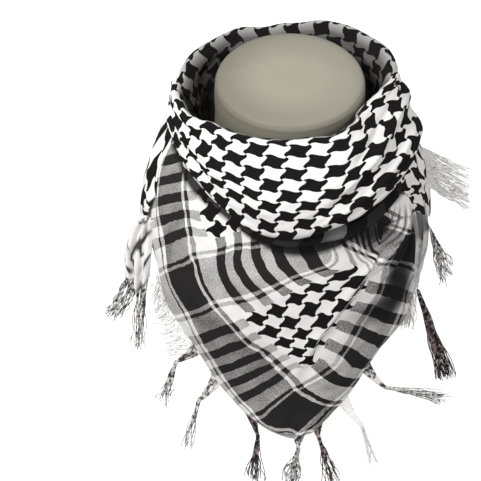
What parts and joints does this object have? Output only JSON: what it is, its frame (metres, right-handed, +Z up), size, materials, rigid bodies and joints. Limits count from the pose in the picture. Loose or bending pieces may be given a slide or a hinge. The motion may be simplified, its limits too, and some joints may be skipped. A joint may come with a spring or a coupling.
{
  "type": "check neck scarf on a limbless neck form",
  "caption": "Square check cotton scarf folded to a triangle and worn round a smooth neck form: slack cowl, hanging front point, wrapped shoulders, fringed ends and tassels.",
  "frame": {"origin": "point on the flat underside of the neck form's foot, straight below the centre of the neck", "axes": "+Z up along the neck; the hanging front point of the scarf faces -Y; +X is to the right of a viewer in front"},
  "size_m": [0.3102, 0.217, 0.3483],
  "materials": {
    "form": "smooth satin",
    "cloth": "woven black and white check",
    "cloth_under": "woven black and white check in shade",
    "thread": "twisted cotton threads"
  },
  "bodies": {
    "root": {"neck_form": "form", "front_cowl": "cloth", "cowl_second_fold": "cloth_under", "front_triangle": "cloth", "under_corner": "cloth_under", "neck_band": "cloth", "wrap_left": "cloth", "wrap_right": "cloth", "end_left": "cloth", "end_right": "cloth", "fringe_bib_left": "thread", "fringe_end_left": "thread", "fringe_end_right": "thread", "fringe_shoulder": "thread", "fringe_shoulder_low": "thread", "tassel_left_upper": "thread", "tassel_left_lower": "thread", "tassel_tip_left": "thread", "tassel_tip": "thread", "tassel_tip_right": "thread", "tassel_right_lower": "thread", "tassel_right_upper": "thread", "tassel_right_side": "thread"}
  },
  "joints": []
}
